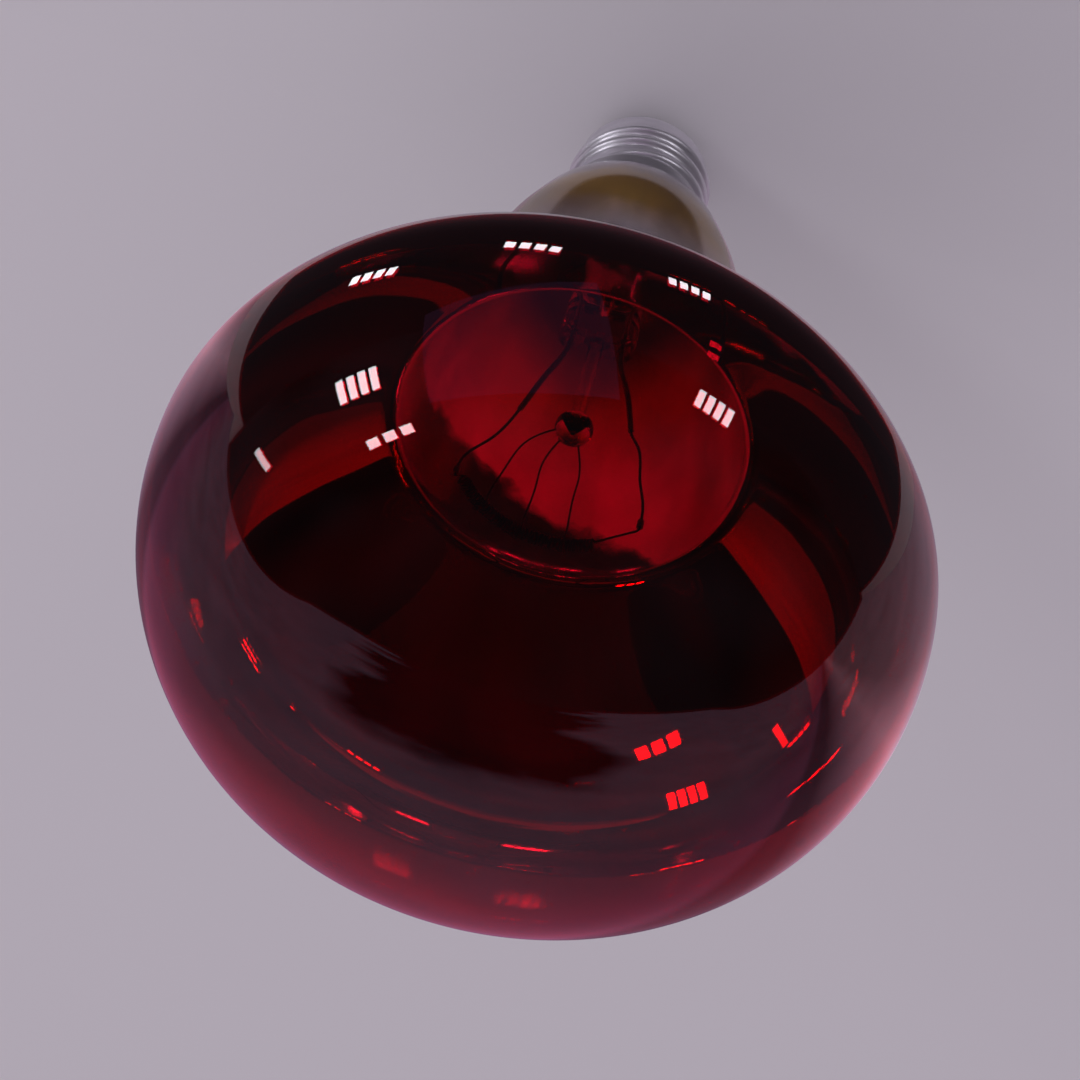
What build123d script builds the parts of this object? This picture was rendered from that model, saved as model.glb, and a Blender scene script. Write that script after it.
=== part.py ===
from build123d import *
from math import atan2, cos, pi, radians, sin, sqrt
import os

os.makedirs("parts", exist_ok=True)

# Reflector bulb, millimetres. The origin is the centre of the end contact,
# +Z runs along the bulb's axis from the screw cap to the ruby face.

# bulb glass, outer line as (radius, height)
bulb_r = 62.5
bulb_height = 175.0
widest_z = 129.3
shoulder_r = 42.3
wall = 0.9
neck_line = (
    (10.90, 15.0),
    (11.10, 19.5),
    (11.45, 23.3),
    (12.10, 25.5),
    (13.10, 27.1),
    (14.50, 28.4),
    (16.25, 30.5),
    (18.40, 34.5),
    (20.05, 39.0),
    (21.90, 44.5),
    (23.65, 52.0),
    (25.70, 64.0),
    (27.75, 78.0),
    (29.40, 90.5),
)
bowl_foot_z = 93.0
bowl_foot_r = 29.8
bowl_power = 1.815

# mirror film inside the bowl, drawn thicker than a real film
mirror_low = 92.0
mirror_top = 133.4
mirror_wall = 0.12

# screw cap with E27 lamp thread
pitch = 3.629
thread_arc = 1.025
crest_r = 13.15
land_r = 12.12
sheet = 0.3
thread_low = 9.0
thread_high = 20.6
thread_at = (240.0, 12.2)
skirt_r = 13.3
cap_rim_z = 27.0

# glass mount
tube_r = 6.4
tube_wall = 1.0
press_low = 50.0
press_top = 64.0
press_w = 13.5
press_t = 5.0
exhaust_r = 2.4
rod_r = 1.3
button_z = 90.0
button_r = 3.3
button_h = 1.9

# wires
wire_x = 4.4
thin_r = 0.3
lead_r = 0.5
post_r = 0.24
seal_low = 49.0
seal_top = 61.0
post_a = (16.5, 0.0)
post_b = (-14.3, 0.8)
sleeve_low = 108.6
sleeve_high = 110.2
sleeve_r = 0.55
support_r = 0.16

# filament coil along a level bow
coil_z = 111.6
coil_r = 0.95
coil_wire = 0.2
coil_turns = 20
bow_r = 18.05
bow_y = -10.55
bow_from = 34.0
bow_to = 116.0


def save(name, part):
    part.label = name
    export_step(part, "parts/" + name + ".step")


def round_wire(radius, *curves):
    """Round wire swept along curves that follow each other smoothly."""
    path = Wire(curves)
    with BuildPart() as wire:
        with BuildSketch(Plane(origin=path @ 0, z_dir=path % 0)):
            Circle(radius)
        sweep(path=path)
    return wire.part


# outer line of the glass: neck, bend and bowl
bowl_line = []
for u in (0.03, 0.12, 0.25, 0.42, 0.6, 0.8, 1.0):
    opened = 1 - (1 - u) ** bowl_power
    bowl_line.append((
        bowl_foot_r + (bulb_r - bowl_foot_r) * opened,
        bowl_foot_z + (widest_z - bowl_foot_z) * u,
    ))
bowl_slope = (bulb_r - bowl_foot_r) / (widest_z - bowl_foot_z) * bowl_power * 0.97
neck_dir = Vector(0.13, 1.0)
bowl_dir = Vector(bowl_slope, 1.0)
neck_curve = Edge.make_spline(
    [Vector(*p) for p in neck_line], tangents=[Vector(0.05, 1.0), neck_dir]
)
bend_curve = Edge.make_spline(
    [Vector(*neck_line[-1]), Vector(*bowl_line[0])], tangents=[neck_dir, bowl_dir]
)
bowl_curve = Edge.make_spline(
    [Vector(*p) for p in bowl_line], tangents=[bowl_dir, Vector(0.0, 1.0)]
)

# crown: a large arc on the axis, touched by the shoulder arc
ring_r = bulb_r - shoulder_r
face_h = bulb_height - widest_z
crown_r = (face_h**2 + ring_r**2 - shoulder_r**2) / (2 * (face_h - shoulder_r))
crown_z = bulb_height - crown_r
turn = atan2(widest_z - crown_z, ring_r)


def bulb_line(depth):
    """Line of the bulb at a depth inside its outer surface, seal to crown."""
    curves = []
    for curve, count in ((neck_curve, 24), (bend_curve, 5), (bowl_curve, 10)):
        points = []
        for i in range(count + 1):
            at = curve @ (i / count)
            along = curve % (i / count)
            points.append(Vector(at.X - along.Y * depth, at.Y + along.X * depth))
        curves.append(Edge.make_spline(points, tangents=[curve % 0, curve % 1]))
    for centre, radius, first, last in (
        ((ring_r, widest_z), shoulder_r - depth, 0.0, turn),
        ((0.0, crown_z), crown_r - depth, turn, pi / 2),
    ):
        points = []
        for angle in (first, (first + last) / 2, last):
            x = centre[0] + radius * cos(angle)
            points.append(Vector(x, centre[1] + radius * sin(angle)))
        if last == pi / 2:
            points[2] = Vector(0.0, bulb_height - depth)
        curves.append(Edge.make_three_point_arc(*points))
    return curves


def bulb_section(outer, inner):
    """Face between two depths, in a plane that is still the XY plane."""
    outside = bulb_line(outer)
    inside = bulb_line(inner)
    foot = Edge.make_line(outside[0] @ 0, inside[0] @ 0)
    top = Edge.make_line(outside[-1] @ 1, inside[-1] @ 1)
    return Face(Wire(outside + inside + [foot, top]))


# blown glass bulb, one piece
with BuildPart() as envelope:
    with BuildSketch(Plane.XZ):
        add(bulb_section(0.0, wall))
    revolve(axis=Axis.Z)

# mirror film on the inside of the bowl
with BuildPart() as mirror:
    with BuildSketch(Plane.XZ):
        add(bulb_section(wall, wall + mirror_wall))
        with Locations((bulb_r / 2, (mirror_low + mirror_top) / 2)):
            Rectangle(bulb_r + 10, mirror_top - mirror_low, mode=Mode.INTERSECT)
    revolve(axis=Axis.Z)


# thread ridge: a hollow arc, a crest arc and a hollow arc that touch
mid_r = crest_r - thread_arc
root_r = mid_r + sqrt((2 * thread_arc) ** 2 - (pitch / 2) ** 2)


def ridge(inset, base):
    """Section of the ridge, set in from the outer surface of the sheet."""
    hollow = thread_arc + inset
    crest = thread_arc - inset
    half = pitch / 2 - sqrt(hollow**2 - (root_r - base) ** 2)
    share = crest / (2 * thread_arc)
    touch = (mid_r + (root_r - mid_r) * share, pitch / 2 * share)
    first = atan2(pitch / 2 - half, base - root_r)
    last = atan2(pitch / 2 - touch[1], touch[0] - root_r)
    angle = (first + last) / 2
    side = (root_r + hollow * cos(angle), pitch / 2 - hollow * sin(angle))
    with BuildSketch(Plane.XY) as section:
        with BuildLine():
            Polyline((base, half), (base - 0.2, half), (base - 0.2, -half), (base, -half))
            ThreePointArc((base, -half), (side[0], -side[1]), (touch[0], -touch[1]))
            ThreePointArc((touch[0], -touch[1]), (mid_r + crest, 0), touch)
            ThreePointArc(touch, side, (base, half))
        make_face()
    return section.sketch


def thread(inset, base):
    """Ridge wound on the cap, sinking into the sheet at both ends."""
    angle_at, z_at = thread_at
    start = angle_at + 360 * (thread_low - z_at) / pitch
    stop = angle_at + 360 * (thread_high - z_at) / pitch
    fade = 150.0
    steps = 52
    points = []
    for i in range(steps + 1):
        angle = start + (stop - start) * i / steps
        near = min(angle - start, stop - angle, fade) / fade
        sink = 1.35 * (1 - near * near * (3 - 2 * near))
        z = z_at + pitch * (angle - angle_at) / 360
        turned = radians(angle)
        points.append(((land_r - sink) * cos(turned), (land_r - sink) * sin(turned), z))
    path = Edge.make_spline([Vector(*p) for p in points])
    out = Vector(cos(radians(start)), sin(radians(start)), 0)
    place = Plane(origin=points[0], x_dir=out, z_dir=path % 0)
    section = place * (Pos(-land_r, 0, 0) * ridge(inset, base))
    with BuildPart() as wound:
        sweep(sections=section, path=path, is_frenet=True)
    return wound.part


outer_ridge = thread(0.0, land_r - 0.035)
inner_ridge = thread(sheet, land_r - sheet - 0.035)

# screw shell of thin sheet with a rolled thread
with BuildPart() as shell:
    with BuildSketch(Plane.XZ) as shell_section:
        with BuildLine():
            Polyline(
                (0, 4.2), (9.4, 4.2), (land_r, 7.4), (land_r, 21.8), (skirt_r, 23.0),
                (skirt_r, 26.2), (skirt_r + 0.3, cap_rim_z), (0, cap_rim_z), (0, 4.2),
            )
        make_face()
        corners = shell_section.vertices().filter_by(lambda v: v.X > 9 and v.Y < 26)
        fillet(corners, 0.6)
    revolve(axis=Axis.Z)
    add(outer_ridge)
    with BuildSketch(Plane.XZ):
        with BuildLine():
            Polyline(
                (0, 4.5), (9.27, 4.5), (land_r - sheet, 7.5), (land_r - sheet, 21.92),
                (skirt_r - sheet, 23.12), (skirt_r - sheet, 26.3),
                (skirt_r, cap_rim_z), (0, cap_rim_z), (0, 4.5),
            )
        make_face()
    revolve(axis=Axis.Z, mode=Mode.SUBTRACT)
    add(inner_ridge, mode=Mode.SUBTRACT)
    Cylinder(8.4, 10, mode=Mode.SUBTRACT)

# black glass insulator
with BuildPart() as insulator:
    with BuildSketch(Plane.XZ):
        with BuildLine():
            Polyline(
                (0.9, 1.1), (5.0, 1.1), (8.4, 4.1), (8.4, 4.5), (9.27, 4.5),
                (11.31, 6.9), (10.6, 7.2), (5.4, 5.0), (0.9, 4.4), (0.9, 1.1),
            )
        make_face()
    revolve(axis=Axis.Z)

# contact plate with its solder, the lowest point of the bulb
with BuildPart() as contact:
    with BuildSketch(Plane.XZ):
        with BuildLine():
            Polyline((0.9, 0.55), (4.3, 0.55), (4.7, 0.8), (4.7, 1.1), (0.9, 1.1), (0.9, 0.55))
        make_face()
    revolve(axis=Axis.Z)

with BuildPart() as solder:
    with BuildSketch(Plane.XZ):
        with BuildLine():
            Polyline((0, 0), (1.7, 0), (2.4, 0.2), (2.8, 0.55))
            Polyline((2.8, 0.55), (0.9, 0.55), (0.9, 1.1), (0, 1.1), (0, 0))
        make_face()
    revolve(axis=Axis.Z)

# basing cement between glass and shell
with BuildPart() as cement:
    with BuildSketch(Plane.XZ):
        with BuildLine():
            Polyline(
                (10.5, 16.0), (11.75, 16.0), (11.75, 21.9), (12.95, 23.15), (12.95, 26.1),
                (12.0, 26.1), (11.65, 25.5), (11.0, 23.3), (10.65, 19.5), (10.5, 16.0),
            )
        make_face()
    revolve(axis=Axis.Z)
    add(envelope.part, mode=Mode.SUBTRACT)

# glass stem: flare sealed to the bulb, tube and flat press
with BuildPart() as stem:
    with BuildSketch(Plane.XZ):
        with BuildLine():
            Spline(
                (10.0, 15.0), (8.4, 16.6), (7.2, 20.0), (tube_r, 27.0),
                tangents=((-1, 0.6), (0, 1)),
            )
            Polyline((tube_r, 27.0), (tube_r, press_low), (0, press_low), (0, 27.0))
            Polyline((0, 27.0), (0, 13.2), (10.1, 13.2), (10.9, 14.0), (10.9, 15.0), (10.0, 15.0))
        make_face()
    revolve(axis=Axis.Z)
    with BuildSketch(Plane.XZ):
        with BuildLine():
            Spline(
                (9.6, 13.2), (7.4, 15.6), (6.1, 19.8), (tube_r - tube_wall, 27.0),
                tangents=((-1, 0.6), (0, 1)),
            )
            Polyline((tube_r - tube_wall, 27.0), (tube_r - tube_wall, press_low), (0, press_low))
            Polyline((0, press_low), (0, 13.2), (9.6, 13.2))
        make_face()
    revolve(axis=Axis.Z, mode=Mode.SUBTRACT)
    with BuildSketch(Plane.XY.offset(press_low)):
        Circle(tube_r)
    with BuildSketch(Plane.XY.offset(press_low + 6)):
        RectangleRounded(press_w, press_t, 2.2)
    loft()
    with BuildSketch(Plane.XY.offset(press_low + 6)):
        RectangleRounded(press_w, press_t, 2.2)
    extrude(amount=press_top - press_low - 6)
    with Locations((wire_x, 0, press_low), (-wire_x, 0, press_low)):
        Cylinder(
            thin_r, seal_top - press_low, align=(Align.CENTER, Align.CENTER, Align.MIN),
            mode=Mode.SUBTRACT,
        )
    with Locations((wire_x, 0, seal_top), (-wire_x, 0, seal_top)):
        Cylinder(
            lead_r, press_top - seal_top, align=(Align.CENTER, Align.CENTER, Align.MIN),
            mode=Mode.SUBTRACT,
        )
    with Locations((0, 0, press_low)):
        Cylinder(
            1.3, 4.0, align=(Align.CENTER, Align.CENTER, Align.MIN), mode=Mode.SUBTRACT
        )
    with Locations(Location((0, 0, press_low + 4), (90, 0, 0))):
        Cylinder(1.0, 20.0, mode=Mode.SUBTRACT)

# exhaust tube, sealed off to a rounded tip inside the cap
with BuildPart() as exhaust:
    with BuildSketch(Plane.XZ):
        with BuildLine():
            RadiusArc((0, 11.2 - exhaust_r), (exhaust_r, 11.2), -exhaust_r)
            Polyline((exhaust_r, 11.2), (exhaust_r, press_low), (1.3, press_low), (1.3, 11.2))
            RadiusArc((1.3, 11.2), (0, 9.9), 1.3)
            Line((0, 9.9), (0, 11.2 - exhaust_r))
        make_face()
    revolve(axis=Axis.Z)

# wires from the cap to the press and the seal wires inside the press glass
feed_a = round_wire(
    thin_r,
    Edge.make_line((wire_x, 0, seal_low), (wire_x, 0, 16)),
    Edge.make_spline(
        [Vector(wire_x, 0, 16), Vector(2.9, 0, 8.6), Vector(0.6, 0, 6.0), Vector(0, 0, 3.6)],
        tangents=[Vector(0, 0, -1), Vector(0, 0, -1)],
    ),
    Edge.make_line((0, 0, 3.6), (0, 0, 1.1)),
)
feed_b = round_wire(
    thin_r,
    Edge.make_line((-wire_x, 0, seal_low), (-wire_x, 0, 17)),
    Edge.make_spline(
        [Vector(-wire_x, 0, 17), Vector(-6.3, 0, 12.0), Vector(-10.9, 0, 11.0)],
        tangents=[Vector(0, 0, -1), Vector(-1, 0, 0)],
    ),
)
seals = []
for side in (1, -1):
    seals.append(round_wire(
        thin_r, Edge.make_line((side * wire_x, 0, seal_low), (side * wire_x, 0, seal_top))
    ))

# solder that joins the second feed wire to the inside of the shell
with BuildPart() as shell_solder:
    with Locations((-11.4, 0, 11.0)):
        Sphere(0.95)
    add(shell.part, mode=Mode.SUBTRACT)
    add(feed_b, mode=Mode.SUBTRACT)
    solids = shell_solder.solids().sort_by(SortBy.VOLUME)
    if len(solids) > 1:
        add(solids[:-1], mode=Mode.SUBTRACT)

# thick leads out of the press and thin posts up to the filament
lead_a = round_wire(
    lead_r,
    Edge.make_line((wire_x, 0, seal_top), (wire_x, 0, press_top)),
    Edge.make_spline(
        [Vector(wire_x, 0, press_top), Vector(6.9, 0, 77.0), Vector(9.5, 0, 88.5)],
        tangents=[Vector(0, 0, 1), Vector(0.24, 0, 1)],
    ),
)
lead_b = round_wire(
    lead_r,
    Edge.make_line((-wire_x, 0, seal_top), (-wire_x, 0, press_top)),
    Edge.make_spline(
        [Vector(-wire_x, 0, press_top), Vector(-7.0, 0, 75.5), Vector(-9.3, 0, 86.5)],
        tangents=[Vector(0, 0, 1), Vector(-0.2, 0, 1)],
    ),
)
rod_a = round_wire(
    post_r,
    Edge.make_spline(
        [Vector(9.5, 0, 88.5), Vector(12.9, 0, 99.0), Vector(*post_a, sleeve_low)],
        tangents=[Vector(0.24, 0, 1), Vector(0, 0, 1)],
    ),
    Edge.make_line((*post_a, sleeve_low), (*post_a, sleeve_low + 1)),
)
rod_b = round_wire(
    post_r,
    Edge.make_spline(
        [
            Vector(-9.3, 0, 86.5), Vector(-10.9, 0, 90.0), Vector(-12.6, 0.3, 98.5),
            Vector(*post_b, sleeve_low),
        ],
        tangents=[Vector(-0.2, 0, 1), Vector(0, 0, 1)],
    ),
    Edge.make_line((*post_b, sleeve_low), (*post_b, sleeve_low + 1)),
)

# sleeves that clamp the filament ends on the posts
sleeves = []
for x, y in (post_a, post_b):
    with BuildPart() as sleeve:
        with BuildSketch(Plane.XY.offset(sleeve_low)):
            with Locations((x, y)):
                Circle(sleeve_r)
                Circle(post_r, mode=Mode.SUBTRACT)
        extrude(amount=sleeve_high - sleeve_low)
    sleeves.append(sleeve.part)


def bow(angle, out=0.0, up=0.0):
    """Point beside the coil's centre line, angle in degrees round the bow."""
    turned = radians(angle)
    r = bow_r + out
    return Vector(r * cos(turned), bow_y + r * sin(turned), coil_z + up)


# filament: a leg, the coil along the bow and the other leg
coil_points = []
steps = coil_turns * 8
for i in range(steps + 1):
    phase = 2 * pi * coil_turns * i / steps - pi / 2
    angle = bow_from + (bow_to - bow_from) * i / steps
    coil_points.append(bow(angle, coil_r * cos(phase), coil_r * sin(phase)))
coil = Edge.make_spline(coil_points)
foot_a = Edge.make_line((*post_a, sleeve_low + 1.05), (*post_a, sleeve_high + 0.1))
foot_b = Edge.make_line((*post_b, sleeve_high + 0.1), (*post_b, sleeve_low + 1.05))
leg_a = Edge.make_spline([foot_a @ 1, coil @ 0], tangents=[Vector(0, 0, 1), coil % 0])
leg_b = Edge.make_spline(
    [coil @ 1, Vector(*post_b, sleeve_high + 0.8), foot_b @ 0],
    tangents=[coil % 1, Vector(0, 0, -1)],
)
filament = round_wire(coil_wire, foot_a, leg_a, coil, leg_b, foot_b)

# supports that rise from the glass button and hook round the coil
supports = []
for angle in (51.0, 76.0, 101.0):
    hook_r = coil_r + coil_wire + support_r + 0.04
    aim = bow(angle)
    flat = Vector(aim.X, aim.Y, 0).normalized()
    points = [flat * 2.4 + Vector(0, 0, button_z), flat * 5.0 + Vector(0, 0, button_z + 1.5)]
    points.append(bow(angle, -3.0, -6.0))
    points.append(bow(angle, -hook_r, -1.2))
    for phase in (180, 135, 90, 45, 0, -45, -85):
        turned = radians(phase)
        points.append(bow(angle, hook_r * cos(turned), hook_r * sin(turned)))
    supports.append(round_wire(support_r, Edge.make_spline(points)))

# glass rod and the button that holds the supports
with BuildPart() as rod:
    with Locations((0, 0, press_top)):
        Cylinder(rod_r, 26, align=(Align.CENTER, Align.CENTER, Align.MIN))
    with BuildSketch(Plane.XZ):
        with BuildLine():
            Line((0, button_z - button_h), (0, button_z + button_h))
            ThreePointArc(
                (0, button_z + button_h), (button_r, button_z), (0, button_z - button_h)
            )
        make_face()
    revolve(axis=Axis.Z)
    for support in supports:
        add(support, mode=Mode.SUBTRACT)

save("envelope", envelope.part)
save("mirror_film", mirror.part)
save("cap_shell", shell.part)
save("cap_insulator", insulator.part)
save("cap_contact", contact.part)
save("contact_solder", solder.part)
save("shell_solder", shell_solder.part)
save("cap_cement", cement.part)
save("stem", stem.part)
save("exhaust_tube", exhaust.part)
save("support_rod", rod.part)
save("feed_wire_a", feed_a)
save("feed_wire_b", feed_b)
save("seal_wire_a", seals[0])
save("seal_wire_b", seals[1])
save("lead_a", lead_a)
save("lead_b", lead_b)
save("post_a", rod_a)
save("post_b", rod_b)
save("sleeve_a", sleeves[0])
save("sleeve_b", sleeves[1])
save("filament", filament)
save("support_a", supports[0])
save("support_b", supports[1])
save("support_c", supports[2])
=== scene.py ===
from math import atan2, cos, pi, radians, sin

import bpy
import numpy as np
from mathutils import Matrix, Vector


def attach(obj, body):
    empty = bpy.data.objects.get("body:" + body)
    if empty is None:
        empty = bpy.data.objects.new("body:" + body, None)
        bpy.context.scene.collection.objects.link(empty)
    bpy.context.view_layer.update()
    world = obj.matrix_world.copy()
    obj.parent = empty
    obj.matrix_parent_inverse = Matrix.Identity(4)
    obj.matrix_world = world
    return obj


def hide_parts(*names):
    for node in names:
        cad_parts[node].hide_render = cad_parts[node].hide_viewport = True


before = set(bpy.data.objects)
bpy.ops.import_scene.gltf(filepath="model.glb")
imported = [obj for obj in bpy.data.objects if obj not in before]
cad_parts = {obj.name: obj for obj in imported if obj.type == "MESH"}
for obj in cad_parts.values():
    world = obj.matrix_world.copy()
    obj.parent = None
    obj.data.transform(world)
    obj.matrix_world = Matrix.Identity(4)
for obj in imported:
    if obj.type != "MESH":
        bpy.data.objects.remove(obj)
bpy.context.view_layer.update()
scene = bpy.context.scene
MM = 0.001
UP = (0, 0, 1)

# the bulb's line, in millimetres, as the CAD solid has it
BULB_R, HEIGHT, WIDEST_Z, SHOULDER_R, WALL = 62.5, 175.0, 129.3, 42.3, 0.9
RING_R = BULB_R - SHOULDER_R
NECK = [
    (10.90, 15.0), (11.10, 19.5), (11.45, 23.3), (12.10, 25.5), (13.10, 27.1),
    (14.50, 28.4), (16.25, 30.5), (18.40, 34.5), (20.05, 39.0), (21.90, 44.5),
    (23.65, 52.0), (25.70, 64.0), (27.75, 78.0), (29.40, 90.5),
]
SEAL_WAY, BEND_WAY = (0.05, 1), (0.13, 1)
FOOT_Z, FOOT_R, POWER = 93.0, 29.8, 1.815
BOWL_PARTS = (0.03, 0.12, 0.25, 0.42, 0.6, 0.8, 1.0)

# how finely the line is cut, stretch by stretch, and how often it is repeated round Z
NECK_CUTS, BEND_CUTS, BOWL_CUTS, SHOULDER_CUTS, CROWN_CUTS, AROUND = 64, 10, 56, 48, 24, 220

# the heights where the ruby glass and the clear glass begin, and the film's ends and faces
RUBY_LOW, CLEAR_LOW = 119.6, FOOT_Z - 0.5
MIRROR_LOW, MIRROR_TOP = 92.0, 133.4
FILM_BACK, FILM_FRONT = WALL + 0.03, WALL + 0.12

# filament: the bow's radius, middle, start and sweep, then the coil on it
BOW_R, BOW_Y, BOW_Z, BOW_START, BOW_SWEEP = 18.05, -10.55, 111.6, 34, 82
COIL_R, TURNS, TURN_CUTS, WIRE_R = 0.93, 46, 12, 0.2
LEG_A = [(16.5, 0.0, 109.7), (16.5, 0.0, 110.5), (16.1, -0.1, 110.75), (15.5, -0.3, 110.7)]
LEG_B = [
    (-8.6, 5.3, 110.7), (-11.2, 3.2, 110.9), (-13.9, 1.1, 111.1), (-14.3, 0.8, 110.8),
    (-14.3, 0.8, 109.7),
]

# camera at the photograph's place: the height on the bulb's axis that it turns about, its
# distance from there, tilt, pan and roll, and its focal length in the photograph's pixels
TARGET_Z, CAMERA_FAR, TILT, PAN_X, PAN_Y, ROLL = (
    110.0, 511.821, 0.657724, -0.0046419, -0.0126319, -0.2622745
)
FOCAL_PX, PHOTO_PX, SENSOR = 3187.01, 1080, 36.0


def curve_points(points, first, last, count):
    """Points on a smooth curve through points, with the given end directions."""
    p = np.array(points, float)
    h = np.hypot(*np.diff(p, axis=0).T)
    t = np.concatenate([[0], np.cumsum(h)])
    n = len(p)
    a = np.zeros((n, n))
    b = np.zeros((n, 2))
    a[0, 0] = a[-1, -1] = 1
    b[0] = np.array(first) / np.hypot(*first)
    b[-1] = np.array(last) / np.hypot(*last)
    for i in range(1, n - 1):
        a[i, i - 1] = 1 / h[i - 1]
        a[i, i] = 2 / h[i - 1] + 2 / h[i]
        a[i, i + 1] = 1 / h[i]
        b[i] = 3 * ((p[i] - p[i - 1]) / h[i - 1] ** 2 + (p[i + 1] - p[i]) / h[i] ** 2)
    d = np.linalg.solve(a, b)
    out = []
    for at in np.linspace(0, t[-1], count + 1):
        i = min(int(np.searchsorted(t, at, "right")) - 1, n - 2)
        u = (at - t[i]) / h[i]
        out.append(
            (2 * u**3 - 3 * u**2 + 1) * p[i] + (u**3 - 2 * u**2 + u) * h[i] * d[i]
            + (3 * u**2 - 2 * u**3) * p[i + 1] + (u**3 - u**2) * h[i] * d[i + 1]
        )
    return out


def bulb_line():
    """(radius, height) of the outer surface from the seal to the crown."""
    bowl = []
    for u in BOWL_PARTS:
        r = FOOT_R + (BULB_R - FOOT_R) * (1 - (1 - u) ** POWER)
        bowl.append((r, FOOT_Z + (WIDEST_Z - FOOT_Z) * u))
    foot_way = ((BULB_R - FOOT_R) / (WIDEST_Z - FOOT_Z) * POWER * 0.97, 1)
    line = curve_points(NECK, SEAL_WAY, BEND_WAY, NECK_CUTS)
    line += curve_points([NECK[-1], bowl[0]], BEND_WAY, foot_way, BEND_CUTS)[1:]
    line += curve_points(bowl, foot_way, (0, 1), BOWL_CUTS)[1:]
    high = HEIGHT - WIDEST_Z
    crown_r = (high**2 + RING_R**2 - SHOULDER_R**2) / (2 * (high - SHOULDER_R))
    crown_z = HEIGHT - crown_r
    turn = atan2(WIDEST_Z - crown_z, RING_R)
    for i in range(1, SHOULDER_CUTS + 1):
        a = turn * i / SHOULDER_CUTS
        line.append(np.array((RING_R + SHOULDER_R * cos(a), WIDEST_Z + SHOULDER_R * sin(a))))
    for i in range(1, CROWN_CUTS + 1):
        a = turn + (pi / 2 - turn) * i / CROWN_CUTS
        line.append(np.array((crown_r * cos(a), crown_z + crown_r * sin(a))))
    line[-1] = np.array((0.0, HEIGHT))
    return np.array(line)


def inset(line, depth):
    """The line moved square to itself, inwards, with its end still on the axis."""
    way = np.gradient(line, axis=0)
    way /= np.hypot(*way.T)[:, None]
    moved = line + depth * np.stack([-way[:, 1], way[:, 0]], 1)
    moved[-1] = (0, line[-1][1] - depth)
    return moved


def new_object(name, verts, faces, smooth=False):
    """An object of its own mesh, in metres."""
    mesh = bpy.data.meshes.new(name)
    mesh.from_pydata(verts, [], faces)
    for face in mesh.polygons:
        face.use_smooth = smooth
    obj = bpy.data.objects.new(name, mesh)
    scene.collection.objects.link(obj)
    return obj


def lathe(name, line):
    """A closed surface turned round Z from (radius, height) points in mm."""
    verts, rings, faces = [], [], []
    for r, z in line:
        if r < 1e-6:
            rings.append([len(verts)])
            verts.append((0, 0, z * MM))
            continue
        rings.append(list(range(len(verts), len(verts) + AROUND)))
        for k in range(AROUND):
            a = 2 * pi * k / AROUND
            verts.append((r * cos(a) * MM, r * sin(a) * MM, z * MM))
    for painted_shade_near_cap, high in zip(rings, rings[1:] + rings[:1]):
        for k in range(AROUND):
            n = (k + 1) % AROUND
            if len(painted_shade_near_cap) > 1 and len(high) > 1:
                faces.append((painted_shade_near_cap[k], painted_shade_near_cap[n], high[n], high[k]))
            elif len(painted_shade_near_cap) > 1:
                faces.append((painted_shade_near_cap[k], painted_shade_near_cap[n], high[0]))
            elif len(high) > 1:
                faces.append((painted_shade_near_cap[0], high[n], high[k]))
    return new_object(name, verts, faces, smooth=True)


def tube(name, points, radius, sides=6):
    """A round wire along points in mm, with flat ends."""
    p = np.array(points, float)
    run = np.gradient(p, axis=0)
    run /= np.linalg.norm(run, axis=1)[:, None]
    side = np.cross(run[0], (0.3, 0.5, 0.8))
    verts, faces = [], []
    for at, go in zip(p, run):
        side = side - go * np.dot(side, go)
        side /= np.linalg.norm(side)
        other = np.cross(go, side)
        for k in range(sides):
            a = 2 * pi * k / sides
            verts.append(tuple((at + radius * (cos(a) * side + sin(a) * other)) * MM))
    for i in range(len(p) - 1):
        for k in range(sides):
            n = (k + 1) % sides
            painted_shade_near_cap, high = i * sides, (i + 1) * sides
            faces.append((painted_shade_near_cap + k, painted_shade_near_cap + n, high + n, high + k))
    faces.append(tuple(range(sides))[::-1])
    faces.append(tuple(range(len(verts) - sides, len(verts))))
    return new_object(name, verts, faces, smooth=True)


def material(name, **inputs):
    """A new material with one principled shader, its node tree and that shader."""
    made = bpy.data.materials.new(name)
    made.use_nodes = True
    shader = made.node_tree.nodes["Principled BSDF"]
    for key, value in inputs.items():
        socket = shader.inputs[key.replace("_", " ")]
        socket.default_value = (*value, 1) if isinstance(value, tuple) else value
    return made, made.node_tree, shader


def noise(tree, scale, detail, stretch=(1, 1, 1)):
    """Noise in object space, stretched along the axes."""
    where = tree.nodes.new("ShaderNodeTexCoord")
    mapping = tree.nodes.new("ShaderNodeMapping")
    mapping.inputs["Scale"].default_value = stretch
    tex = tree.nodes.new("ShaderNodeTexNoise")
    tex.inputs["Scale"].default_value = scale
    tex.inputs["Detail"].default_value = detail
    tex.inputs["Roughness"].default_value = 0.55
    tree.links.new(where.outputs["Object"], mapping.inputs["Vector"])
    tree.links.new(mapping.outputs["Vector"], tex.inputs["Vector"])
    return tex.outputs["Fac"]


def ramp(tree, source, *stops):
    """Colour ramp with (position, colour) stops."""
    node = tree.nodes.new("ShaderNodeValToRGB")
    while len(node.color_ramp.elements) < len(stops):
        node.color_ramp.elements.new(0.5)
    for element, (at, colour) in zip(node.color_ramp.elements, stops):
        element.position = at
        element.color = (*colour, 1)
    tree.links.new(source, node.inputs["Fac"])
    return node.outputs["Color"]


def span(tree, value, painted_shade_near_cap, high):
    """0 to 1 as a number goes from low to high."""
    node = tree.nodes.new("ShaderNodeMapRange")
    node.inputs["From Min"].default_value = painted_shade_near_cap
    node.inputs["From Max"].default_value = high
    tree.links.new(value, node.inputs["Value"])
    return node.outputs["Result"]


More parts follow.
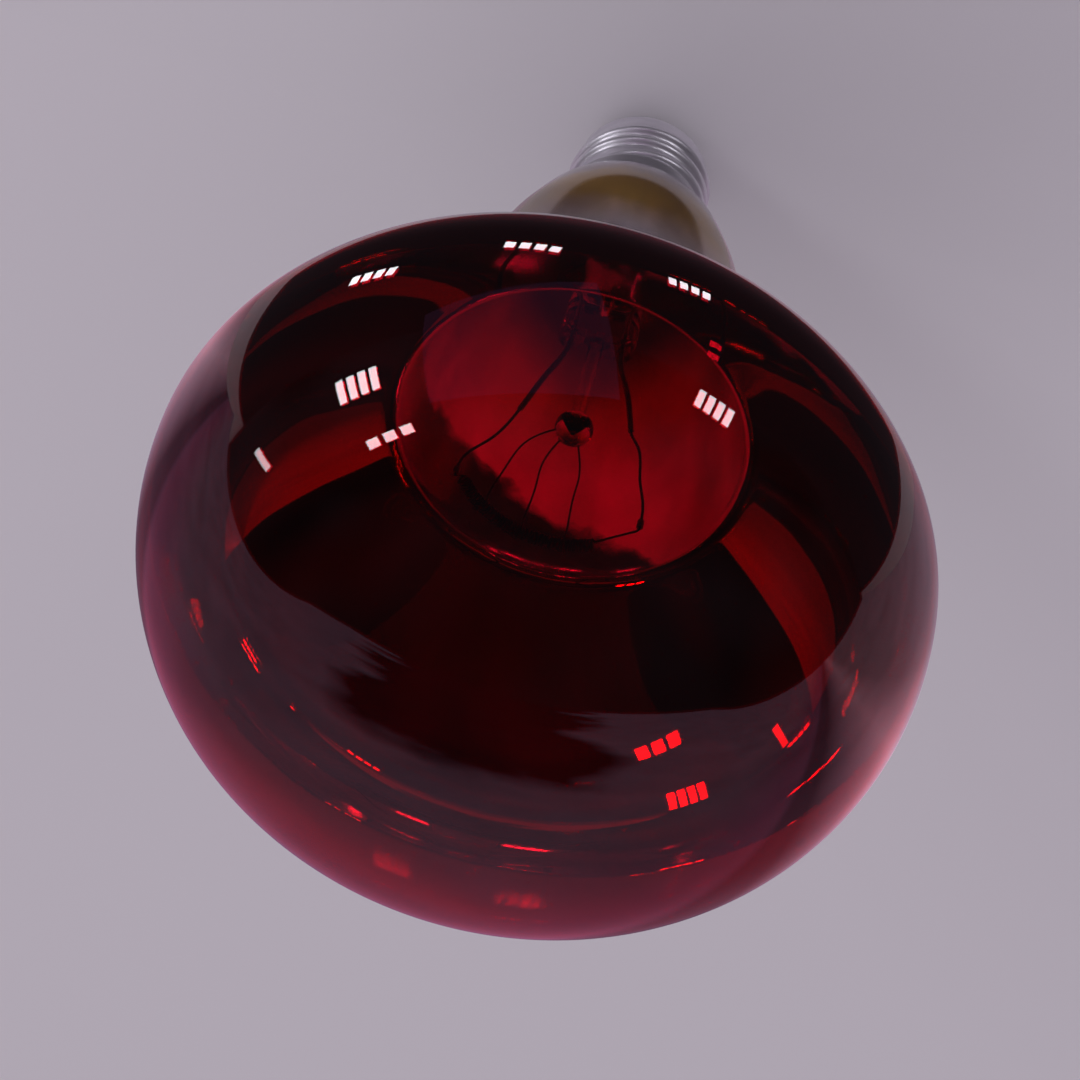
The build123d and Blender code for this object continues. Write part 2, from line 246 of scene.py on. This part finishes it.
def along(tree, direction, painted_shade_near_cap, high):
    """0 to 1 along a direction in object space, between two places in metres."""
    where = tree.nodes.new("ShaderNodeTexCoord")
    dot = tree.nodes.new("ShaderNodeVectorMath")
    dot.operation = "DOT_PRODUCT"
    dot.inputs[1].default_value = direction
    tree.links.new(where.outputs["Object"], dot.inputs[0])
    return span(tree, dot.outputs["Value"], painted_shade_near_cap, high)


def times(tree, one, other):
    """Product of two colours."""
    mix = tree.nodes.new("ShaderNodeMix")
    mix.data_type = "RGBA"
    mix.blend_type = "MULTIPLY"
    mix.inputs["Factor"].default_value = 1.0
    tree.links.new(one, mix.inputs["A"])
    tree.links.new(other, mix.inputs["B"])
    return mix.outputs["Result"]


def number(tree, operation, one, other):
    """A number worked out from two sockets or plain values."""
    node = tree.nodes.new("ShaderNodeMath")
    node.operation = operation
    for socket, value in zip(node.inputs, (one, other)):
        if isinstance(value, (int, float)):
            socket.default_value = value
        else:
            tree.links.new(value, socket)
    return node.outputs[0]


def add(tree, value, shift, size):
    """A number moved by a noise that is centred on zero."""
    centred = number(tree, "SUBTRACT", shift, 0.5)
    return number(tree, "ADD", value, number(tree, "MULTIPLY", centred, size))


def bump(tree, shader, source, strength, distance):
    """Relief from a source, its distance in metres."""
    node = tree.nodes.new("ShaderNodeBump")
    node.inputs["Strength"].default_value = strength
    node.inputs["Distance"].default_value = distance
    tree.links.new(source, node.inputs["Height"])
    tree.links.new(node.outputs["Normal"], shader.inputs["Normal"])


def blown_waves(tree, shader):
    """The slow waves of blown glass."""
    bump(tree, shader, noise(tree, 22, 1), 0.12, 0.0006)


def speckled(name, tones, relief, gloss=None, **inputs):
    """An uneven material.

    tones and gloss are (scale and detail of the noise, first stop, last stop), and relief is
    (scale and detail of the noise, strength, distance).
    """
    made, tree, shader = material(name, **inputs)
    grain, *stops = tones
    tree.links.new(ramp(tree, noise(tree, *grain), *stops), shader.inputs["Base Color"])
    if gloss:
        grain, *stops = gloss
        tree.links.new(ramp(tree, noise(tree, *grain), *stops), shader.inputs["Roughness"])
    grain, strength, distance = relief
    bump(tree, shader, noise(tree, *grain), strength, distance)
    return made


def grey(value):
    """A grey colour."""
    return (value, value, value)


def dressed(obj, materials, node):
    """A piece of the scene in the place of a solid, in one material or several."""
    for made in materials:
        obj.data.materials.append(made)
    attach(obj, "root")
    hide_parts(node)


GLASS = {"Roughness": 0.0, "IOR": 1.5, "Transmission_Weight": 1.0}

# ruby glass of the face, denser in the band round the widest ring
ruby, tree, shader = material("ruby_glass", **GLASS)
tint = ramp(tree, noise(tree, 14, 2), (0.3, (0.90, 0.8, 0.8)), (0.7, grey(1.0)))
depth = ramp(
    tree, along(tree, UP, 0.120, 0.150),
    (0.0, (0.30, 0.0008, 0.006)), (0.5, (0.34, 0.001, 0.008)), (0.95, (0.80, 0.002, 0.014)),
)
tree.links.new(times(tree, depth, tint), shader.inputs["Base Color"])
blown_waves(tree, shader)

# clear glass of the bowl's back
clear, tree, shader = material("clear_glass", Base_Color=(0.97, 0.98, 0.98), **GLASS)
blown_waves(tree, shader)

# neck glass under the mirror film's uneven edge: clear near the cap, brown in the middle,
# and nearly opaque beyond a ragged tilted line near the bowl; painted shade just over the cap
neck, tree, shader = material("neck_glass", Roughness=0.13, IOR=1.5, Transmission_Weight=0.84)
tint = ramp(tree, noise(tree, 55, 3, (1, 1, 0.5)), (0.34, (0.52, 0.46, 0.5)), (0.6, grey(1.0)))
ragged = add(tree, along(tree, UP, 0.030, 0.070), noise(tree, 75, 4, (1, 1, 0.6)), 0.3)
haze = ramp(
    tree, ragged,
    (0.0, (0.70, 0.66, 0.76)), (0.16, (0.64, 0.56, 0.60)), (0.3, (0.56, 0.30, 0.04)),
    (0.58, (0.60, 0.35, 0.08)), (0.78, (0.66, 0.50, 0.44)), (1.0, (0.80, 0.72, 0.82)),
)
edge = add(tree, along(tree, (0.43, 0.5, 1), 0.088, 0.098), noise(tree, 160, 5), 1.2)
tree.links.new(ramp(tree, edge, (0.45, grey(0.0)), (0.75, grey(0.96))), shader.inputs["Metallic"])
dense = ramp(tree, edge, (0.45, grey(1.0)), (0.75, (0.72, 0.80, 0.92)))
# painted shade: the glass darkens just over the cap, higher up on its +Y side
painted_shade_near_cap = ramp(tree, along(tree, (0, -0.8, 1), 0.020, 0.036), (0.2, grey(0.12)), (0.9, grey(1.0)))
haze = times(tree, haze, painted_shade_near_cap)
tree.links.new(times(tree, times(tree, haze, dense), tint), shader.inputs["Base Color"])
blown_waves(tree, shader)

# satin aluminium of the screw cap; the skirt beside the cement is darkened, a painted dark
# reflection
cap_metal, tree, shader = material("cap_metal", Metallic=0.8)
tint = ramp(
    tree, noise(tree, 90, 6, (1, 1, 2.5)), (0.3, (0.55, 0.53, 0.58)), (0.62, (0.70, 0.68, 0.73))
)
# painted dark reflection: darker colour on the skirt, above the thread
skirt_painted_reflection = ramp(tree, along(tree, UP, 0.0206, 0.0222), (0.0, grey(1.0)), (1.0, grey(0.66)))
tree.links.new(times(tree, tint, skirt_painted_reflection), shader.inputs["Base Color"])
gloss = ramp(tree, noise(tree, 160, 5, (1, 1, 3)), (0.3, grey(0.28)), (0.75, grey(0.44)))
tree.links.new(gloss, shader.inputs["Roughness"])
bump(tree, shader, noise(tree, 900, 3, (1, 1, 5)), 0.12, 0.0001)

# aluminium mirror film
film = speckled(
    "mirror_film", ((40, 4), (0.35, grey(0.66)), (0.7, (0.76, 0.76, 0.77))),
    ((26, 2), 0.25, 0.001), Metallic=1.0, Roughness=0.03,
)

# wires and glass inside
lead_metal = speckled(
    "lead_metal", ((300, 4), (0.3, (0.16, 0.15, 0.14)), (0.7, (0.32, 0.3, 0.28))),
    ((1500, 3), 0.15, 0.0001), Metallic=1.0, Roughness=0.4,
)
dark_metal = speckled(
    "dark_metal", ((500, 4), (0.3, grey(0.06)), (0.7, (0.14, 0.14, 0.15))),
    ((2500, 3), 0.2, 0.0001), Metallic=1.0, Roughness=0.5,
)
copper = speckled(
    "copper_wire", ((300, 4), (0.3, (0.5, 0.24, 0.14)), (0.7, (0.72, 0.4, 0.26))),
    ((1500, 3), 0.15, 0.0001), Metallic=1.0, Roughness=0.35,
)
stem_glass = speckled(
    "stem_glass", ((60, 3), (0.3, (0.86, 0.9, 0.88)), (0.7, (0.93, 0.96, 0.95))),
    ((180, 2), 0.3, 0.0004), **GLASS,
)

# end of the cap, solder and cement
black_glass = speckled(
    "black_glass", ((120, 5), (0.3, grey(0.008)), (0.75, (0.03, 0.028, 0.034))),
    ((260, 3), 0.3, 0.0004), Roughness=0.12, Coat_Weight=0.4,
)
brass = speckled(
    "contact_metal", ((200, 5), (0.3, (0.58, 0.46, 0.24)), (0.7, (0.78, 0.64, 0.36))),
    ((1200, 3), 0.15, 0.0001), Metallic=1.0, Roughness=0.35,
)
solder = speckled(
    "solder", ((260, 5), (0.3, (0.4, 0.4, 0.42)), (0.7, (0.62, 0.62, 0.64))),
    ((700, 4), 0.4, 0.0002), ((400, 4), (0.3, grey(0.25)), (0.7, grey(0.5))), Metallic=1.0,
)
cement = speckled(
    "cement", ((220, 6), (0.3, (0.5, 0.46, 0.4)), (0.7, (0.72, 0.68, 0.6))),
    ((900, 5), 0.5, 0.0003), Roughness=0.85,
)

# the solids in their materials, also the one that the coil below replaces
looks = (
    (cap_metal, ("cap_shell",)),
    (black_glass, ("cap_insulator",)),
    (brass, ("cap_contact",)),
    (solder, ("contact_solder", "shell_solder")),
    (cement, ("cap_cement",)),
    (stem_glass, ("stem", "exhaust_tube", "support_rod")),
    (copper, ("feed_wire_a", "feed_wire_b", "seal_wire_a", "seal_wire_b")),
    (lead_metal, ("lead_a", "lead_b", "sleeve_a", "sleeve_b")),
    (dark_metal, ("post_a", "post_b", "support_a", "support_b", "support_c", "filament")),
)
for look, nodes in looks:
    for node in nodes:
        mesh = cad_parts[node].data
        mesh.materials.clear()
        mesh.materials.append(look)

# glass bulb in its three glasses
outside = bulb_line()
inside = inset(outside, WALL)
bulb = lathe("bulb_glass", np.concatenate([outside, inside[::-1]]))
dressed(bulb, (neck, clear, ruby), "envelope")
for face in bulb.data.polygons:
    z = face.center.z / MM
    face.material_index = 2 if z > RUBY_LOW else 1 if z > CLEAR_LOW else 0

# mirror film inside the bowl
keep = (outside[:, 1] > MIRROR_LOW) & (outside[:, 1] < MIRROR_TOP)
back = inset(outside, FILM_BACK)[keep]
front = inset(outside, FILM_FRONT)[keep]
mirror = lathe("bowl_mirror", np.concatenate([back, front[::-1]]))
dressed(mirror, (film,), "mirror_film")

# filament: close turns along the bow, and straight legs up from the posts
wire = list(LEG_A)
for i in range(TURNS * TURN_CUTS + 1):
    phase = 2 * pi * i / TURN_CUTS - pi / 2
    turned = radians(BOW_START + BOW_SWEEP * i / (TURNS * TURN_CUTS))
    r = BOW_R + COIL_R * cos(phase)
    wire.append((r * cos(turned), r * sin(turned) + BOW_Y, BOW_Z + COIL_R * sin(phase)))
coil = tube("filament_coil", wire + LEG_B, WIRE_R)
dressed(coil, (dark_metal,), "filament")

# floor, from its middle to each side in metres
HALF = 4.0
corners = [(-HALF, -HALF, 0), (HALF, -HALF, 0), (HALF, HALF, 0), (-HALF, HALF, 0)]
floor = new_object("floor", corners, [(0, 1, 2, 3)])
look, tree, shader = material("floor_look", Base_Color=(0.62, 0.60, 0.63), Roughness=0.9)
floor.data.materials.append(look)

# world: plain pale light
world = bpy.data.worlds.new("studio")
world.use_nodes = True
scene.world = world
sky = world.node_tree.nodes["Background"]
sky.inputs["Color"].default_value = (0.88, 0.80, 0.90, 1)
sky.inputs["Strength"].default_value = 0.62

# camera
place = Vector((0, -CAMERA_FAR * sin(TILT), TARGET_Z + CAMERA_FAR * cos(TILT)))
ahead = Vector((0, sin(TILT), -cos(TILT)))
up = Vector((0, -cos(TILT), -sin(TILT)))
right = ahead.cross(up)
up, right = cos(ROLL) * up + sin(ROLL) * right, -sin(ROLL) * up + cos(ROLL) * right
ahead = (ahead + PAN_X * right + PAN_Y * up).normalized()
right = ahead.cross(up).normalized()
up = right.cross(ahead)
turn = Matrix((right, up, -ahead)).transposed().to_4x4()
camera = bpy.data.objects.new("camera", bpy.data.cameras.new("camera"))
scene.collection.objects.link(camera)
camera.matrix_world = Matrix.Translation(place * MM) @ turn
camera.data.sensor_width = SENSOR
camera.data.lens = FOCAL_PX / PHOTO_PX * SENSOR
camera.data.clip_start = 0.01
scene.camera = camera


def mirrored(across, down):
    """Where a pixel of the photograph meets the bulb's round shoulder, and the way on from there.

    The place is in metres, and the way is that of a reflected ray.
    """
    middle = PHOTO_PX / 2
    way = ahead + (across - middle) / FOCAL_PX * right - (down - middle) / FOCAL_PX * up
    way.normalize()
    spot = place.copy()
    for step in range(200):
        core = Vector((spot.x, spot.y, 0)).normalized() * RING_R + WIDEST_Z * Vector(UP)
        spot += way * ((spot - core).length - SHOULDER_R)
    square = (spot - core).normalized()
    return spot * MM, way - 2 * way.dot(square) * square


def only_reflected(obj):
    """A studio card that glass and metal see, and that lights nothing."""
    obj.visible_camera = False
    obj.visible_diffuse = False
    obj.visible_shadow = False
    obj.visible_volume_scatter = False


def glow(name, colour=(1, 1, 1)):
    """A plain emission material, its tree and its emission node."""
    made = bpy.data.materials.new(name)
    made.use_nodes = True
    tree = made.node_tree
    tree.nodes.clear()
    out = tree.nodes.new("ShaderNodeOutputMaterial")
    emit = tree.nodes.new("ShaderNodeEmission")
    emit.inputs["Color"].default_value = (*colour, 1)
    tree.links.new(emit.outputs[0], out.inputs["Surface"])
    return made, tree, emit


def card(name, corners, look):
    """A flat studio card that only glass and metal see."""
    obj = new_object(name, corners, [tuple(range(len(corners)))])
    obj.data.materials.append(look)
    only_reflected(obj)
    return obj


def tent(name, radius, dark, pale):
    """A dim dome over the set, in uneven tones."""
    rings, across = 24, 48
    verts = [(0, 0, radius)]
    faces = []
    for i in range(1, rings + 1):
        down = pi / 2 * i / rings
        for k in range(across):
            turned = 2 * pi * k / across
            out = radius * sin(down)
            verts.append((out * cos(turned), out * sin(turned), radius * cos(down)))
    for k in range(across):
        faces.append((0, 1 + (k + 1) % across, 1 + k))
    for i in range(rings - 1):
        for k in range(across):
            painted_shade_near_cap, nxt = 1 + i * across, 1 + (k + 1) % across
            faces.append((painted_shade_near_cap + k, painted_shade_near_cap - 1 + nxt, painted_shade_near_cap + across - 1 + nxt, painted_shade_near_cap + across + k))
    obj = new_object(name, verts, faces)
    look, tree, emit = glow(name + "_look")
    shade = ramp(tree, noise(tree, 0.9, 1), (0.35, dark), (0.7, pale))
    tree.links.new(shade, emit.inputs["Color"])
    obj.data.materials.append(look)
    only_reflected(obj)
    return obj


# tents: one for what is reflected, one for what is seen through the glass
glossy = tent("tent_glossy", 2.0, (0.022, 0.019, 0.024), (0.065, 0.055, 0.07))
glossy.visible_transmission = False
through = tent("tent_clear", 2.05, (0.004, 0.0035, 0.0045), (0.03, 0.025, 0.03))
through.visible_glossy = False

# dark card just over the floor, from under the bulb towards -Y
DARK_FAR, DARK_NEAR, DARK_Z = 2, 0.02, 0.001
look, tree, emit = glow("dark_card_look", (0.04, 0.034, 0.044))
corners = [
    (-DARK_FAR, -DARK_FAR, DARK_Z), (DARK_FAR, -DARK_FAR, DARK_Z),
    (DARK_FAR, -DARK_NEAR, DARK_Z), (-DARK_FAR, -DARK_NEAR, DARK_Z),
]
card("dark_card", corners, look)

# pale lilac card behind the bulb, a little off the line from its widest ring to its cap
CAP_EDGE_R, CAP_EDGE_Z, CARD_GAP = 13.6, 20.0, 1.0
CARD_X, CARD_Z = (-1.6, 0.8), (-0.1, 2.2)
slope = (BULB_R - CAP_EDGE_R) / (WIDEST_Z - CAP_EDGE_Z)


def on_card(x, z):
    """The card's point at x and z, in metres."""
    return (x, (BULB_R + CARD_GAP) * MM + (z - WIDEST_Z * MM) * slope, z)


# its tones are painted light and shadow: a pool of light under the neck, and a painted
# shadow round the widest ring
look, tree, emit = glow("pale_card_look")
card_painted_light_and_shadow = ramp(
    tree, along(tree, (0.3, 0, 1), 0.02, 0.28),
    (0.0, (0.42, 0.32, 0.42)), (0.09, (0.46, 0.32, 0.42)), (0.2, (0.82, 0.56, 0.74)),
    (0.3, (0.44, 0.31, 0.45)), (0.38, (0.16, 0.10, 0.16)), (0.435, (0.18, 0.10, 0.17)),
    (0.46, (0.34, 0.16, 0.30)), (0.52, (0.33, 0.16, 0.30)), (0.77, (0.33, 0.26, 0.39)),
    (1.0, (0.35, 0.28, 0.42)),
)
shade = ramp(tree, noise(tree, 16, 2), (0.3, grey(0.75)), (0.7, grey(1.0)))

# a dark area with ragged edges on its far part, on a line that leans by x / z
LEAN = 0.05
where = tree.nodes.new("ShaderNodeTexCoord")
parts = tree.nodes.new("ShaderNodeSeparateXYZ")
tree.links.new(where.outputs["Object"], parts.inputs[0])
ratio = number(tree, "DIVIDE", parts.outputs["X"], parts.outputs["Z"])
off_line = number(tree, "ABSOLUTE", number(tree, "SUBTRACT", ratio, LEAN), 0)
beside = span(tree, add(tree, off_line, noise(tree, 3, 3), 0.5), 0.26, 0.34)
near = span(tree, add(tree, parts.outputs["Z"], noise(tree, 12, 3), 0.12), 0.36, 0.31)
clear_of = number(tree, "MAXIMUM", beside, near)
area = ramp(tree, clear_of, (0.0, (0.10, 0.07, 0.07)), (1.0, grey(1.0)))
tree.links.new(times(tree, times(tree, card_painted_light_and_shadow, shade), area), emit.inputs["Color"])
low_z, high_z = CARD_Z
left_x, right_x = CARD_X
corners = [
    on_card(left_x, low_z), on_card(right_x, low_z),
    on_card(right_x, high_z), on_card(left_x, high_z),
]
card("pale_card", corners, look)

# faint window in front of the bulb: its image's corners in the photograph's pixels
WINDOW_PX = ((425, 315), (597, 283), (620, 400), (430, 403))
WINDOW_FAR = 0.25
look, tree, emit = glow("window_look", (0.15, 0.075, 0.16))
corners = []
for pixel in WINDOW_PX:
    spot, way = mirrored(*pixel)
    corners.append(spot + WINDOW_FAR * way)
card("window_card", corners, look).visible_transmission = False

# two small bright cards seen only through the glass, for the red glints round the bend
GLINT_WAY, GLINT_FAR, GLINT_X, GLINT_Y = Vector((-0.41, -0.86, -0.27)), 0.34, 0.008, 0.007
look, tree, emit = glow("glint_look", (16.0, 15.0, 16.0))
middle = Vector((0, 0, 0.13)) + GLINT_WAY * GLINT_FAR
side = GLINT_WAY.cross(Vector(UP)).normalized()
rise = side.cross(GLINT_WAY).normalized()
for name, lift in (("glint_low", -0.016), ("glint_high", 0.012)):
    corners = [
        middle + side * across * GLINT_X + rise * (lift + over * GLINT_Y)
        for across, over in ((-1, -1), (1, -1), (1, 1), (-1, 1))
    ]
    card(name, corners, look).visible_glossy = False


def lamp(name, at, aim, wide, long, radiance, colour):
    """Soft rectangular lamp, in metres, with its radiance in W/m2/sr."""
    data = bpy.data.lights.new(name, "AREA")
    data.shape = "RECTANGLE"
    data.size, data.size_y = wide, long
    data.energy = radiance * wide * long * pi
    data.color = colour
    obj = bpy.data.objects.new(name, data)
    scene.collection.objects.link(obj)
    look = (aim - at).to_track_quat("-Z", "Y").to_matrix().to_4x4()
    obj.matrix_world = Matrix.Translation(at) @ look
    obj.visible_camera = False
    return obj


# rows of lamps whose images lie on the face: a row's middle in the photograph's pixels, its
# distance, how many lamps it has, how wide and long each is, and their radiance
ROWS = (
    ("a", (357, 385), 1.5, 4, (0.055, 0.25), 16),
    ("b", (390, 436), 1.5, 3, (0.085, 0.10), 14),
    ("c", (715, 408), 1.5, 4, (0.05, 0.20), 14),
    ("d", (262, 460), 1.5, 1, (0.05, 0.24), 8),
    ("e", (373, 275), 0.16, 4, (0.0062, 0.012), 14),
    ("f", (533, 246), 0.14, 4, (0.0062, 0.010), 14),
    ("g", (690, 288), 0.14, 4, (0.0050, 0.010), 14),
)
PITCH, ROW_COLOUR = 1.45, (0.96, 0.95, 1.0)
for name, pixel, far, count, (wide, long), radiance in ROWS:
    spot, way = mirrored(*pixel)
    side = way.cross(Vector(UP)).normalized()
    for i in range(count):
        off = side * wide * PITCH * (i - (count - 1) / 2)
        at = spot + way * far + off
        lamp("panel_%s_%d" % (name, i), at, spot + off, wide, long, radiance, ROW_COLOUR)

# soft lamp for the floor and the metal, not seen in the glass
soft = lamp(
    "soft_top", Vector((0.5, 0.5, 1.6)), Vector((0, 0, 0.1)), 1.0, 1.0, 1.0, (1.0, 0.99, 0.98)
)
soft.visible_glossy = False
soft.visible_transmission = False

scene.view_settings.view_transform = "Standard"
scene.cycles.max_bounces = 22
scene.cycles.transmission_bounces = 20
scene.cycles.glossy_bounces = 14
scene.cycles.transparent_max_bounces = 16
